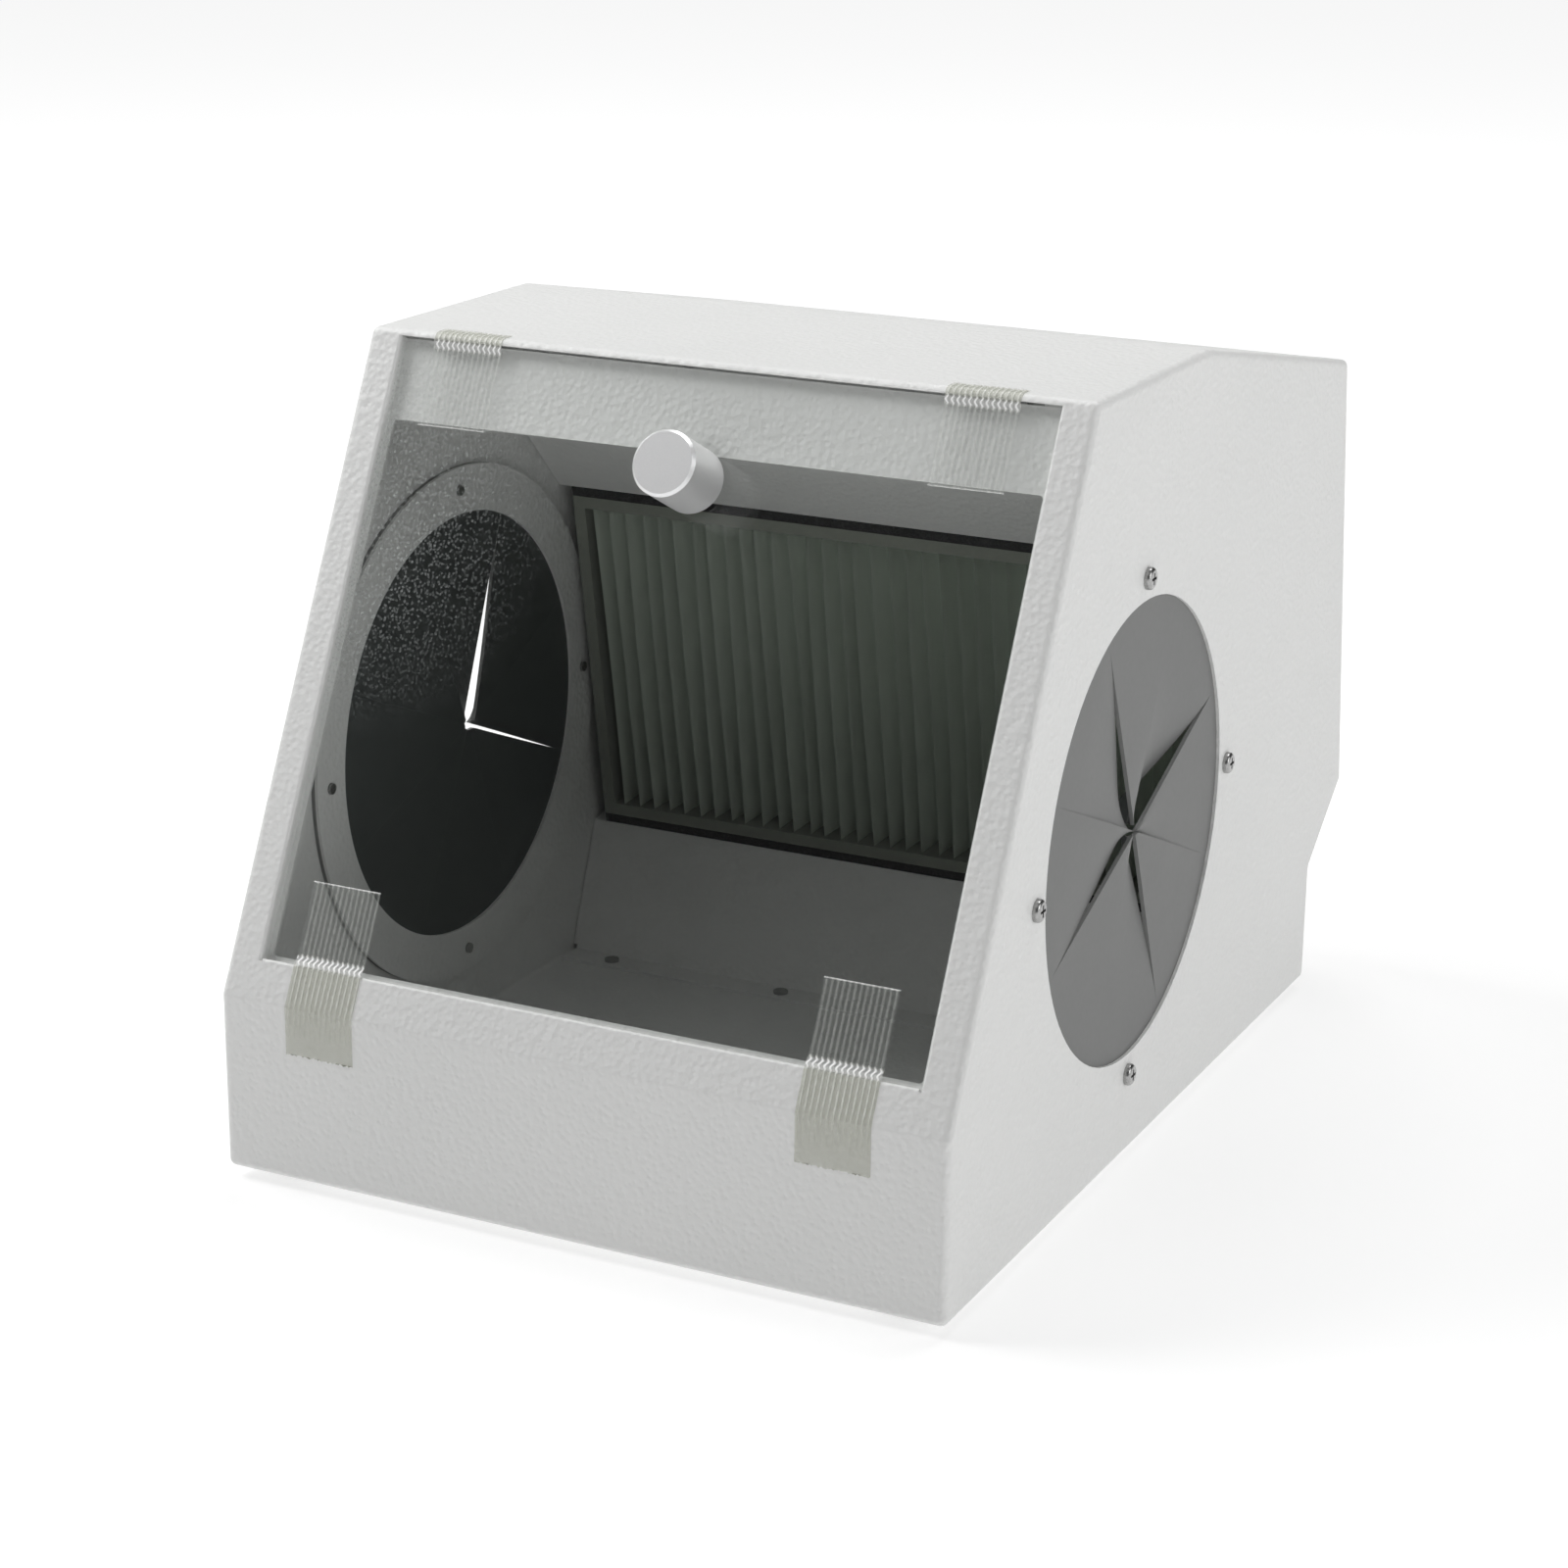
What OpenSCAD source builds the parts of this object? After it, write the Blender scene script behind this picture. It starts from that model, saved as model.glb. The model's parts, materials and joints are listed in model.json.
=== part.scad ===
// Bench-top blast cabinet: a folded steel box with a slanted window, two arm ports closed by slit
// rubber discs, a pleated filter between two baffles and an axial fan in the rear wall.
// X runs across the cabinet, -Y is the front with the window, +Z is up. The feet stand on z = 0.

/* [Cabinet body] */
// Width over the two side panels
body_w = 280; // [240:1:360]
// Height of the upright front apron
apron_h = 66; // [50:1:90]
// Horizontal run of the slanted window face
slant_run = 108; // [90:1:130]
// Height of the body without its feet
body_h = 285; // [270:1:330]
// Depth of the flat part of the top
top_run = 105; // [90:1:150]
// Horizontal run of the sloped rear part of the top
rear_slope_run = 162; // [140:1:200]
// Drop of the sloped rear part of the top
rear_slope_drop = 31; // [20:1:45]
// How far the rear wall leans out on its way down
rear_lean = 22.3; // [12:0.1:35]
// Height of the fold at the foot of the rear wall
belly_z = 75.6; // [66:0.1:84]
// Horizontal run of the undercut below the rear wall
undercut_run = 35.8; // [25:0.1:45]
// Height of the upright lower back
lower_back_h = 47.6; // [42:0.1:54]
// Thickness of the steel sheet
sheet_t = 1.2; // [1.1:0.1:2]
// Outside radius of the folds across the cabinet
fold_r = 3.2; // [3.1:0.1:4.5]
// Outside radius of the side panels' rolled edges
roll_r = 2.8; // [2.2:0.1:2.9]

/* [Window] */
// Visible width of the slanted side margins, measured from the side face
margin_w = 13; // [10:0.5:20]
// Height of the sill above the apron's upper fold, along the slant
sill_h = 15; // [10:0.5:20]
// Radius of the rounded edge round the window
window_edge_r = 1; // [0.4:0.1:1]
// Radius of the corners of the glass and of the ledge's opening
glass_corner_r = 1.5; // [0.5:0.5:6]
// Depth from the slanted face to the ledge that carries the glass
recess_depth = 4.5; // [4:0.1:7]
// Width of the ledge at the sides and the bottom of the glass
ledge_w = 1.8; // [1.5:0.1:6]
// Height of the wide ledge at the top of the glass
top_ledge_h = 29.7; // [20:0.1:40]
// Thickness of the glass
glass_t = 3; // [2:0.5:4]
// Gap between the glass and the ledge's rim, all round
glass_gap = 0.7; // [0.3:0.05:1]
// Gap between the top edge of the glass and the folded front edge of the top
glass_top_gap = 1.6; // [1:0.1:4]
// Running gap under pieces that lift off
seat_gap = 0.2; // [0.1:0.05:0.4]

/* [Knob] */
// Diameter of the glass knob
knob_d = 23.5; // [18:0.5:30]
// Length of the knob
knob_len = 24; // [18:0.5:30]
// Distance of the knob's axis below the wide ledge, along the slant
knob_drop = 10.1; // [8:0.1:60]
// Thickness of each knob washer
washer_t = 1; // [0.5:0.1:2]
// Diameter of the knob's screw
knob_screw_d = 5; // [4:1:6]

/* [Holding tape] */
// Width of the holding tape
tape_w = 27.4; // [20:0.1:35]
// Thickness of the tape
tape_t = 0.3; // [0.2:0.05:0.5]
// Distance of each strip from the side of the window
tape_inset = 14.3; // [2:0.1:60]
// Length of tape on the glass
tape_on_glass = 30; // [20:1:45]
// Length of the lower strips' tail below the apron's upper fold
tape_tail_low = 18; // [8:1:30]
// Length of the upper strips' tail on the top
tape_tail_top = 5; // [3:1:20]

/* [Arm ports] */
// Height of the ports' centre above the underside of the body
port_z = 123; // [116:0.5:135]
// Distance of the ports' centre from the front face
port_y = 159; // [140:0.5:165]
// Radius of the port hole in the side panel
port_r = 84; // [70:0.5:90]
// Radius of the port screws' circle
port_bolt_r = 91.8; // [88:0.1:96]
// Inner radius of the clamp ring
ring_in_r = 82.5; // [76:0.5:87]
// Outer radius of the clamp ring and of the rubber disc
ring_out_r = 100.5; // [97:0.5:105]
// Thickness of the clamp ring
ring_t = 1.2; // [1:0.1:2]
// Thickness of the rubber disc
rubber_t = 1.5; // [1:0.1:2]
// Radius at which the slits in the rubber end
slit_r = 80; // [65:0.5:81]
// Radius of the hole where the slits meet
slit_hole_r = 4; // [3:0.5:8]
// Half the width of each slit
slit_gap = 0.45; // [0.4:0.05:0.8]
// Gap at the root of each flap
root_gap = 1; // [0.9:0.05:1.5]
// Diameter of the port screws
port_screw_d = 4; // [3:0.5:5]
// Diameter of the port screws' heads
port_head_d = 8; // [6:0.5:9]
// Height of the port screws' heads
port_head_h = 2.4; // [1.5:0.1:3]

/* [Baffles and filter] */
// Distance of the lower baffle's foot from the front face
baffle_foot_y = 245; // [241:1:250]
// Distance of the upper baffle's head from the front edge of the top
baffle_head_y = 48.5; // [46:0.5:60]
// Distance of the filter's lower front edge from the front face
filter_y = 263.5; // [258:0.5:266]
// Height of the filter's lower front edge above the underside of the body
filter_z = 57; // [52:0.5:62]
// Angle by which the filter leans forward
filter_lean = 10; // [6:0.5:12]
// Gap between the filter and each side wall
filter_side_gap = 5.8; // [5.4:0.1:12]
// Height of the filter
filter_h = 142; // [130:1:146]
// Depth of the filter
filter_d = 22; // [15:1:25]
// Width of the filter frame's border
filter_border = 5; // [4:0.1:9]
// Number of pleats in the filter
pleats = 36; // [20:1:38]
// Thickness of the pleated paper
paper_t = 0.9; // [0.6:0.1:1.2]
// Height of the foam strips above and below the filter
foam_t = 4; // [2:0.5:6]
// Thickness of the foam gasket behind the filter
gasket_t = 3; // [2:0.5:4]
// Width of the lip that the filter is pressed against
lip_w = 8; // [6.5:0.5:12]

/* [Fan] */
// Side of the square fan housing
fan_side = 119; // [100:1:125]
// Depth of the fan housing
fan_depth = 25; // [25:1:38]
// Radius of the air passage
fan_r = 57.5; // [48:0.5:59]
// Distance between the fan's fixing screws
fan_pitch = 105; // [102:0.5:106]
// Radius of the rotor's hub
hub_r = 20; // [16:0.5:24]
// Number of fan blades
blades = 7; // [5:1:9]
// Height of the fan's centre above the fold at the foot of the rear wall, along the wall
fan_w = 90; // [80:1:100]
// Diameter of the fan's shaft
shaft_d = 4; // [3:0.5:5]
// Diameter of the fan's fixing screws
fan_screw_d = 4; // [3:0.5:4]

/* [Light, switch and inlet] */
// Length of the light bar under the top
light_len = 220; // [120:5:230]
// Distance of the light bar's middle from the front edge of the top
light_y = 18; // [12:0.5:22]
// Width of the light bar
light_w = 16; // [12:0.5:20]
// Height of the light bar
light_h = 8; // [6:0.5:12]
// Distance of the rocker switch from the right side
switch_inset = 80; // [55:1:110]
// Width of the rocker switch's bezel
switch_w = 21; // [18:0.5:24]
// Height of the rocker switch's bezel
switch_h = 15; // [13:0.5:17]
// Angle between the rocker key's two positions
key_throw = 20; // [14:1:24]
// Distance of the power inlet from the right side
inlet_inset = 50; // [20:1:54]
// Radius of the power inlet's flange
inlet_flange_r = 7; // [6.5:0.5:9]
// Radius of the power inlet's barrel
inlet_barrel_r = 5.5; // [5:0.1:6]

/* [Feet] */
// Height of the rubber feet
foot_h = 4; // [3:0.5:10]
// Radius of the rubber feet
foot_r = 8; // [6:0.5:12]
// Distance of the feet's centres from the edges of the base
foot_inset = 20; // [15:1:40]
// Diameter of the foot screws
foot_screw_d = 3; // [3:0.5:4]

/* [Hidden] */
$fn = 64;

// Side outline, in (y, z), clockwise from the foot of the apron.
body_d = slant_run + top_run + rear_slope_run + rear_lean;
front_y = -body_d / 2;
rear_top_y = slant_run + top_run + rear_slope_run;
back_y = body_d - undercut_run;
outline = [for (p = [
    [0, 0],
    [0, apron_h],
    [slant_run, body_h],
    [slant_run + top_run, body_h],
    [rear_top_y, body_h - rear_slope_drop],
    [body_d, belly_z],
    [back_y, lower_back_h],
    [back_y, 0]
]) [p.x + front_y, p.y + foot_h]];
sides = len(outline);
APRON = 0;
SLANT = 1;
TOP = 2;
REAR_SLOPE = 3;
REAR_WALL = 4;
UNDERCUT = 5;
LOWER_BACK = 6;
BOTTOM = 7;

function corner(i) = outline[(i + sides) % sides];
function edge_vec(i) = corner(i + 1) - corner(i);
function edge_len(i) = norm(edge_vec(i));
function edge_dir(i) = edge_vec(i) / edge_len(i);
function heading(i) = atan2(edge_vec(i).y, edge_vec(i).x);
function compass(a) = [cos(a), sin(a)];
function edge_out(i) = compass(heading(i) + 90);
function wrap_angle(a) = a > 180 ? wrap_angle(a - 360) : a <= -180 ? wrap_angle(a + 360) : a;
function turn(i) = wrap_angle(heading(i - 1) - heading(i));
function convex(i) = turn(i) > 0;
// Outer surface radius at a fold, with its sign: positive where the fold is convex.
function surface_r(i) = convex(i) ? fold_r : sheet_t - fold_r;
function trim(i) = surface_r(i) * tan(turn(i) / 2);
function along(i, s, out = 0) = corner(i) + edge_dir(i) * s + edge_out(i) * out;
function fold_centre(i) = along(i, trim(i), -surface_r(i));

// A station is a point of the outer surface and its outward direction.
arc_step = 11;
function fold_stations(i) =
    let (n = ceil(abs(turn(i)) / arc_step))
    [for (k = [0 : n]) let (out = compass(heading(i - 1) + 90 - turn(i) * k / n))
        [fold_centre(i) + out * surface_r(i), out]];
function edge_station(i, s) = [along(i, s), edge_out(i)];
function offset_points(stations, out) = [for (st = stations) st[0] + st[1] * out];
function backwards(list) = [for (k = [len(list) - 1 : -1 : 0]) list[k]];
function sheet_outline(stations, t = sheet_t) =
    concat(offset_points(stations, 0), backwards(offset_points(stations, -t)));

inner_w = body_w - 2 * sheet_t;
panel_w = body_w - 2 * roll_r;
slant_angle = heading(SLANT);
window_w = body_w - 2 * margin_w;
slot_u = edge_len(SLANT) - trim(TOP);
ledge_low_u = sill_h + ledge_w;
ledge_high_u = slot_u - top_ledge_h;
glass_back = seat_gap - recess_depth;
glass_face = glass_back + glass_t;
glass_low_u = sill_h + glass_gap;
knob_u = ledge_high_u - knob_drop;
glass_high_u = slot_u - glass_top_gap;
glass_w = window_w - 2 * glass_gap;
inside_top_z = foot_h + body_h - sheet_t;
inside_floor_z = foot_h + sheet_t;
switch_x = body_w / 2 - switch_inset;
inlet_x = body_w / 2 - inlet_inset;

// Puts a (y, z) drawing across the cabinet, from x0 to x1.
module across(x0, x1) {
    translate([x0, 0, 0]) rotate([90, 0, 90]) linear_extrude(x1 - x0) children();
}

module sheet_across(stations) {
    across(-panel_w / 2, panel_w / 2) polygon(sheet_outline(stations));
}

// Local frame of an outline edge: x stays x, y runs along the edge, z points out of the body.
module on_edge(i) {
    translate([0, corner(i).x, corner(i).y]) rotate([heading(i), 0, 0]) children();
}

module on_slant(out = 0) {
    on_edge(SLANT) translate([0, 0, out]) children();
}

module rounded_rect(w, h, r) {
    for (x = [-1, 1], y = [-1, 1]) translate([x * (w / 2 - r), y * (h / 2 - r)]) circle(r);
    square([w, h - 2 * r], center = true);
    square([w - 2 * r, h], center = true);
}

// ---- Folded sheets of the body ----

roll_steps = 6;
// Overlap of a rolled edge with the flat side it belongs to.
roll_tab = 0.2;
// Section of a rolled edge, as (out of the outline, x) pairs.
roll_section = [
    for (k = [0 : roll_steps]) let (a = 90 * k / roll_steps)
        [roll_r * (cos(a) - 1), panel_w / 2 + roll_r * sin(a)],
    [-roll_r - roll_tab, body_w / 2],
    [-roll_r - roll_tab, inner_w / 2],
    for (k = [roll_steps : -1 : 0]) let (a = 90 * k / roll_steps, r = roll_r - sheet_t)
        [r * cos(a) - roll_r, panel_w / 2 + r * sin(a)]
];

module rolled_edge() {
    ring = [for (i = [0 : sides - 1]) each fold_stations(i)];
    n = len(ring);
    m = len(roll_section);
    points = [for (st = ring, q = roll_section) let (p = st[0] + st[1] * q[0]) [q[1], p.x, p.y]];
    faces = [for (j = [0 : n - 1], k = [0 : m - 1])
        let (j2 = (j + 1) % n, k2 = (k + 1) % m)
        [j * m + k, j2 * m + k, j2 * m + k2, j * m + k2]];
    polyhedron(points, faces);
}

port_centre = [port_y + front_y, port_z + foot_h];

// Frame of an arm port: z runs along the cabinet's x, x points down and y to the rear.
module at_port(x = 0) {
    translate([x, port_centre.x, port_centre.y]) rotate([0, 90, 0]) children();
}

module at_port_screws(x = 0) {
    at_port(x) for (a = [0 : 90 : 270]) rotate(a) translate([port_bolt_r, 0, 0]) children();
}

screw_clearance = 0.4;

module side_panel() {
    flat = [for (i = [0 : sides - 1]) each offset_points(fold_stations(i), -roll_r)];
    difference() {
        union() {
            across(inner_w / 2, body_w / 2) polygon(flat);
            rolled_edge();
        }
        at_port() cylinder(h = body_w, r = port_r, $fn = 128);
        at_port_screws() cylinder(h = body_w, d = port_screw_d + screw_clearance);
    }
}

module left_side_panel() {
    color("gainsboro") mirror([1, 0, 0]) side_panel();
}

module right_side_panel() {
    color("gainsboro") side_panel();
}

module front_apron() {
    color("gainsboro") sheet_across(concat(fold_stations(APRON), fold_stations(SLANT)));
}

// Rounds the upper edge of a plate along x, with the material on the -y side of the edge.
module edge_round(length) {
    translate([-length / 2, -window_edge_r, -window_edge_r]) rotate([90, 0, 90]) difference() {
        cube([window_edge_r * 2, window_edge_r * 2, length]);
        translate([0, 0, -1]) cylinder(h = length + 2, r = window_edge_r);
    }
}

// Flat frame round the window: two margins and the sill, open under the folded edge of the top.
module window_surround() {
    low = trim(SLANT);
    bar = (panel_w - window_w) / 2;
    color("gainsboro") on_slant() difference() {
        translate([0, 0, -sheet_t]) linear_extrude(sheet_t) {
            translate([-panel_w / 2, low]) square([panel_w, sill_h - low]);
            for (s = [-1, 1]) translate([s * (window_w + bar) / 2, (low + slot_u) / 2])
                square([bar, slot_u - low], center = true);
        }
        translate([0, sill_h, 0]) edge_round(window_w);
        for (s = [-1, 1]) translate([s * window_w / 2, (sill_h + slot_u) / 2, 0])
            rotate(s > 0 ? 90 : -90) edge_round(slot_u - sill_h + 2 * window_edge_r);
    }
}

module top_panel() {
    color("gainsboro") sheet_across(concat(
        fold_stations(TOP), fold_stations(REAR_SLOPE), fold_stations(REAR_WALL)));
}

module rear_panel() {
    color("gainsboro") difference() {
        sheet_across(concat(
            [edge_station(REAR_WALL, trim(REAR_WALL))],
            fold_stations(UNDERCUT), fold_stations(LOWER_BACK), fold_stations(BOTTOM)));
        on_fan(-fan_depth) cylinder(h = fan_depth * 2, r = fan_r);
        on_fan(-fan_depth) at_fan_screws() cylinder(h = fan_depth * 2, d = fan_screw_d + screw_clearance);
        on_lower_back(switch_x) cube([switch_cut_w, switch_cut_h, fan_depth], center = true);
        on_lower_back(inlet_x) cylinder(h = fan_depth, r = inlet_barrel_r + screw_clearance / 2, center = true);
    }
}

module floor_pan() {
    color("gainsboro") difference() {
        sheet_across([edge_station(BOTTOM, trim(BOTTOM)),
            edge_station(BOTTOM, edge_len(BOTTOM) - trim(APRON))]);
        at_feet() cylinder(h = foot_h + sheet_t * 2, d = foot_screw_d + screw_clearance);
        at_baffle_rivets() cylinder(h = rivet_len * 2, d = rivet_d, center = true);
    }
}

// Tray under the window: a ledge that carries the glass and a rim that hangs from the surround.
module window_ledge() {
    opening_w = window_w - 2 * ledge_w;
    rim_top = -sheet_t;
    outer_w = window_w + 2 * sheet_t;
    ledge_mid_u = (ledge_low_u + ledge_high_u) / 2;
    color("gainsboro") on_slant() difference() {
        translate([-outer_w / 2, sill_h - sheet_t, -recess_depth - sheet_t])
            cube([outer_w, slot_u - sill_h + sheet_t, recess_depth + sheet_t + rim_top]);
        translate([-window_w / 2, sill_h, -recess_depth])
            cube([window_w, slot_u, recess_depth]);
        translate([0, ledge_mid_u, -recess_depth - sheet_t * 2]) linear_extrude(sheet_t * 3)
            rounded_rect(opening_w, ledge_high_u - ledge_low_u, glass_corner_r);
    }
}

// ---- Glass cover ----

module glass_pane() {
    color("lightcyan") on_slant(glass_back) difference() {
        translate([0, (glass_low_u + glass_high_u) / 2]) linear_extrude(glass_t)
            rounded_rect(glass_w, glass_high_u - glass_low_u, glass_corner_r);
        translate([0, knob_u, -glass_t]) cylinder(h = glass_t * 3, d = knob_screw_d + screw_clearance);
    }
}

knob_chamfer = 1;
knob_bore_len = 12;

module knob() {
    r = knob_d / 2;
    color("silver") on_slant(glass_face + washer_t) translate([0, knob_u, 0]) difference() {
        rotate_extrude($fn = 96) polygon([
            [0, 0], [r - knob_chamfer, 0], [r, knob_chamfer / 2],
            [r, knob_len - knob_chamfer], [r - knob_chamfer, knob_len], [0, knob_len]]);
        translate([0, 0, -washer_t]) cylinder(h = knob_bore_len + washer_t, d = knob_screw_d);
    }
}

knob_head_r = 4.6;
knob_head_h = 2.8;
knob_washer_r = 6;

module knob_screw() {
    grip = washer_t + glass_t + washer_t + knob_bore_len - 1;
    color("dimgray") on_slant(glass_back - washer_t) translate([0, knob_u, 0]) {
        cylinder(h = grip, d = knob_screw_d - screw_clearance / 4);
        translate([0, 0, -knob_head_h]) cylinder(h = knob_head_h, r = knob_head_r);
    }
}

module knob_washers() {
    color("black") for (out = [glass_back - washer_t, glass_face]) on_slant(out) translate([0, knob_u, 0])
        difference() {
            cylinder(h = washer_t, r = out == glass_face ? knob_d / 2 - knob_chamfer : knob_washer_r);
            translate([0, 0, -washer_t]) cylinder(h = washer_t * 3, d = knob_screw_d + screw_clearance);
        }
}

// Height of the tape's tails above the sheet that they lie on.
tape_lift = 0.15;
function slant_station(u, out) = [along(SLANT, u, out), edge_out(SLANT)];
function lifted(stations, lift) = [for (st = stations) [st[0] + st[1] * lift, st[1]]];
tape_over = tape_lift + tape_t;
low_tape = concat(
    lifted(concat([edge_station(APRON, edge_len(APRON) - tape_tail_low)], fold_stations(SLANT)), tape_over),
    [slant_station(sill_h, tape_over), slant_station(glass_low_u + glass_t, glass_face + tape_t),
        slant_station(sill_h + tape_on_glass, glass_face + tape_t)]);
high_tape = concat(
    [slant_station(glass_high_u - tape_on_glass, glass_face + tape_t),
        slant_station(glass_high_u - glass_t, glass_face + tape_t)],
    lifted(concat(fold_stations(TOP), [edge_station(TOP, trim(TOP) + tape_tail_top)]), tape_over));

module holding_tape() {
    tape_x = window_w / 2 - tape_inset - tape_w / 2;
    color("lightyellow") for (x = [-tape_x, tape_x], path = [low_tape, high_tape])
        across(x - tape_w / 2, x + tape_w / 2) polygon(sheet_outline(path, tape_t));
}

// ---- Arm ports, drawn at the +x side ----

rubber_x = inner_w / 2 - rubber_t;
ring_x = rubber_x - ring_t;
flaps = 8;
flap_angle = 360 / flaps;
flap_root = slit_r * cos(flap_angle / 2);

module disc_with_screw_holes(x, t) {
    difference() {
        at_port(x) cylinder(h = t, r = ring_out_r, $fn = 128);
        at_port_screws(x - t) cylinder(h = t * 3, d = port_screw_d + screw_clearance);
        children();
    }
}

module rubber_rim() {
    color("dimgray") disc_with_screw_holes(rubber_x, rubber_t)
        at_port(rubber_x - rubber_t) rotate(flap_angle / 2)
            cylinder(h = rubber_t * 3, r = slit_r, $fn = flaps);
}

// One petal of the rubber, the first at the top and the others in turn towards the rear.
module flap(number) {
    root = flap_root - root_gap;
    function half_w(r) = r * tan(flap_angle / 2) - slit_gap;
    color("gray") at_port(rubber_x) rotate(180 - (number - 1) * flap_angle) linear_extrude(rubber_t)
        polygon([[slit_hole_r, half_w(slit_hole_r)], [root, half_w(root)],
            [root, -half_w(root)], [slit_hole_r, -half_w(slit_hole_r)]]);
}

module clamp_ring() {
    color("gainsboro") difference() {
        disc_with_screw_holes(ring_x, ring_t);
        at_port(ring_x - ring_t) cylinder(h = ring_t * 3, r = ring_in_r, $fn = 128);
    }
}

screw_end = 1;

module port_screws() {
    shank = body_w / 2 - ring_x + screw_end;
    color("silver") {
        at_port_screws(ring_x - screw_end) cylinder(h = shank, d = port_screw_d);
        at_port_screws(body_w / 2) difference() {
            pan_head(port_head_d, port_head_h);
            for (a = [0, 90]) rotate(a) translate([-port_head_d * 0.27, -port_head_d * 0.06, port_head_h * 0.5])
                cube([port_head_d * 0.54, port_head_d * 0.12, port_head_h]);
        }
    }
}

// Screw head with a rounded rim, standing on z = 0.
module pan_head(d, h) {
    rim = h * 0.6;
    rotate_extrude() {
        square([d / 2 - rim, h]);
        square([d / 2, h - rim]);
        intersection() {
            translate([d / 2 - rim, h - rim]) circle(rim);
            translate([0, h - rim]) square([d, rim]);
        }
    }
}

module left_rubber_rim() {
    mirror([1, 0, 0]) rubber_rim();
}

module right_rubber_rim() {
    rubber_rim();
}

module left_flap(number) {
    mirror([1, 0, 0]) flap(number);
}

module left_clamp_ring() {
    mirror([1, 0, 0]) clamp_ring();
}

module right_clamp_ring() {
    clamp_ring();
}

module left_port_screws() {
    mirror([1, 0, 0]) port_screws();
}

module right_port_screws() {
    port_screws();
}

// ---- Baffles and filter ----

baffle_flange = 12;
side_clear = 0.3;
rivet_d = 3.2;
rivet_len = sheet_t * 2;
rivet_head_r = 3;
rivet_head_h = 1;
rivets = 4;
filter_w = inner_w - 2 * filter_side_gap;
shelf_d = filter_d + gasket_t + seat_gap;
filter_up = [-sin(filter_lean), cos(filter_lean)];
filter_back = [cos(filter_lean), sin(filter_lean)];
filter_foot = [filter_y + front_y, filter_z + foot_h];

// Frame of the filter: x stays x, y runs up its front from the lower edge, z points to the front.
module on_filter(out = 0) {
    translate([0, filter_foot.x, filter_foot.y]) rotate([90 + filter_lean, 0, 0])
        translate([0, 0, out]) children();
}

// Mitred stations of a sheet bent through (y, z) points, with its visible side left of its run.
function path_stations(points) = [for (i = [0 : len(points) - 1])
    let (last = len(points) - 1,
        before = points[max(i, 1)] - points[max(i, 1) - 1],
        after = points[min(i, last - 1) + 1] - points[min(i, last - 1)],
        n1 = [-before.y, before.x] / norm(before),
        n2 = [-after.y, after.x] / norm(after))
    [points[i], (n1 + n2) / (1 + n1 * n2)]];

// A bent sheet from wall to wall, notched at the side panels' rolled edges.
module baffle(points) {
    half = inner_w / 2 - side_clear;
    difference() {
        across(-half, half) polygon(sheet_outline(path_stations(points)));
        for (s = [-1, 1], z = [inside_floor_z, inside_top_z])
            translate([s * (panel_w / 2 - side_clear + body_w / 2), 0, z])
                cube([body_w, body_d, roll_r * 2], center = true);
    }
}

module at_baffle_rivets() {
    for (k = [0 : rivets - 1]) translate([
        panel_w * (k / (rivets - 1) - 0.5) * 0.85,
        baffle_foot_y + front_y - baffle_flange / 2,
        inside_floor_z]) children();
}

module lower_baffle() {
    foot = [baffle_foot_y + front_y, inside_floor_z + sheet_t];
    shelf = filter_foot - filter_up * foam_t;
    color("gainsboro") difference() {
        baffle([foot - [baffle_flange, 0], foot, shelf, shelf + filter_back * shelf_d]);
        at_baffle_rivets() cylinder(h = rivet_len * 2, d = rivet_d, center = true);
    }
}

module upper_baffle() {
    shelf = filter_foot + filter_up * (filter_h + foam_t);
    head_z = inside_top_z - sheet_t;
    head = [front_y + slant_run + baffle_head_y, head_z];
    color("gainsboro") baffle([shelf + filter_back * shelf_d, shelf, head, head - [baffle_flange, 0]]);
}

module baffle_rivets() {
    color("silver") at_baffle_rivets() {
        translate([0, 0, -sheet_t]) cylinder(h = rivet_len, d = rivet_d);
        translate([0, 0, sheet_t]) cylinder(h = rivet_head_h, r = rivet_head_r);
    }
}

// Flat frame behind the filter, from shelf to shelf, with a lip that the gasket is pressed against.
module filter_seat() {
    width = inner_w - 2 * side_clear;
    rim = foam_t + sheet_t;
    color("gainsboro") on_filter(-shelf_d - sheet_t) linear_extrude(sheet_t) difference() {
        translate([-width / 2, -rim]) square([width, filter_h + 2 * rim]);
        translate([lip_w - filter_w / 2, lip_w]) square([filter_w - 2 * lip_w, filter_h - 2 * lip_w]);
    }
}

module filter_frame() {
    color("beige") on_filter(-filter_d) translate([0, filter_h / 2, filter_d / 2]) difference() {
        cube([filter_w, filter_h, filter_d], center = true);
        cube([filter_w - 2 * filter_border, filter_h - 2 * filter_border, filter_d * 2], center = true);
    }
}

// Paper folded to and fro between the front and the back of the filter frame.
module filter_media() {
    clear_w = filter_w - 2 * filter_border;
    clear_h = filter_h - 2 * filter_border;
    front = -1;
    back = 1 - filter_d;
    folds = 2 * pleats;
    pitch = clear_w / folds;
    steep = sqrt(1 + pow((front - back) / pitch, 2));
    shift = paper_t * steep;
    front_side = [for (k = [0 : folds]) [-clear_w / 2 + k * pitch, k % 2 == 0 ? back + shift : front]];
    back_side = [for (k = [0 : folds]) [-clear_w / 2 + k * pitch, k % 2 == 0 ? back : front - shift]];
    color("honeydew") on_filter() translate([0, filter_h - filter_border, 0]) rotate([90, 0, 0])
        linear_extrude(clear_h) polygon(concat(front_side, backwards(back_side)));
}

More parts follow.
